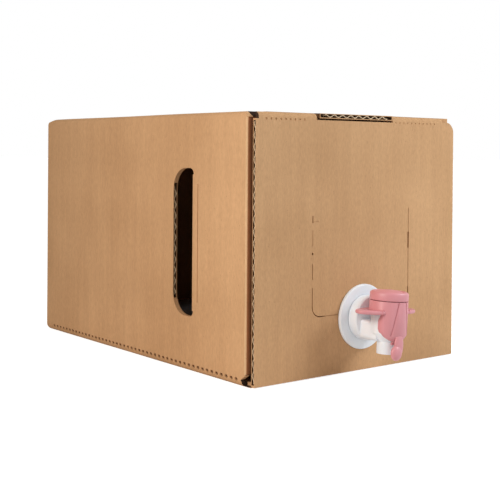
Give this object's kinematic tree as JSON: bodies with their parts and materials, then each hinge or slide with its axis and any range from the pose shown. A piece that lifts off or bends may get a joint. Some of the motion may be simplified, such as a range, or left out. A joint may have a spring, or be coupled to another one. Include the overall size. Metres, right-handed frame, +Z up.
{
  "type": "bag in box carton",
  "caption": "Corrugated carton on its side holding a slack film bag, with hand holes, a perforated front window and a press tap clipped through the front.",
  "frame": {"origin": "middle of the carton's base, on the face it stands on in its serving position", "axes": "+Z up, tap looks towards -Y, the long walls face -X and +X"},
  "size_m": [0.165, 0.2703, 0.15],
  "materials": {
    "kraft_board": "matt brown kraft corrugated board",
    "bag_film": "silvery laminated film, creased",
    "natural_plastic": "natural white polyethylene, satin",
    "white_plastic": "white polypropylene, satin",
    "red_plastic": "dusty pink-red moulded plastic, satin",
    "valve_rubber": "pale food-grade elastomer, matt"
  },
  "bodies": {
    "root": {"carton": "kraft_board", "bag": "bag_film", "gland": "natural_plastic", "tap_body": "white_plastic", "tap_grip": "red_plastic", "cap_ring": "red_plastic"},
    "button": {"press_button": "red_plastic", "valve_stem": "white_plastic", "valve_plug": "valve_rubber"}
  },
  "joints": [
    {"name": "button_press", "type": "slide", "parent": "root", "child": "button", "axis": [-0.0698, 0, -0.9976], "range_m": [0, 0.0035], "stiffness_N_per_m": 1500}
  ]
}
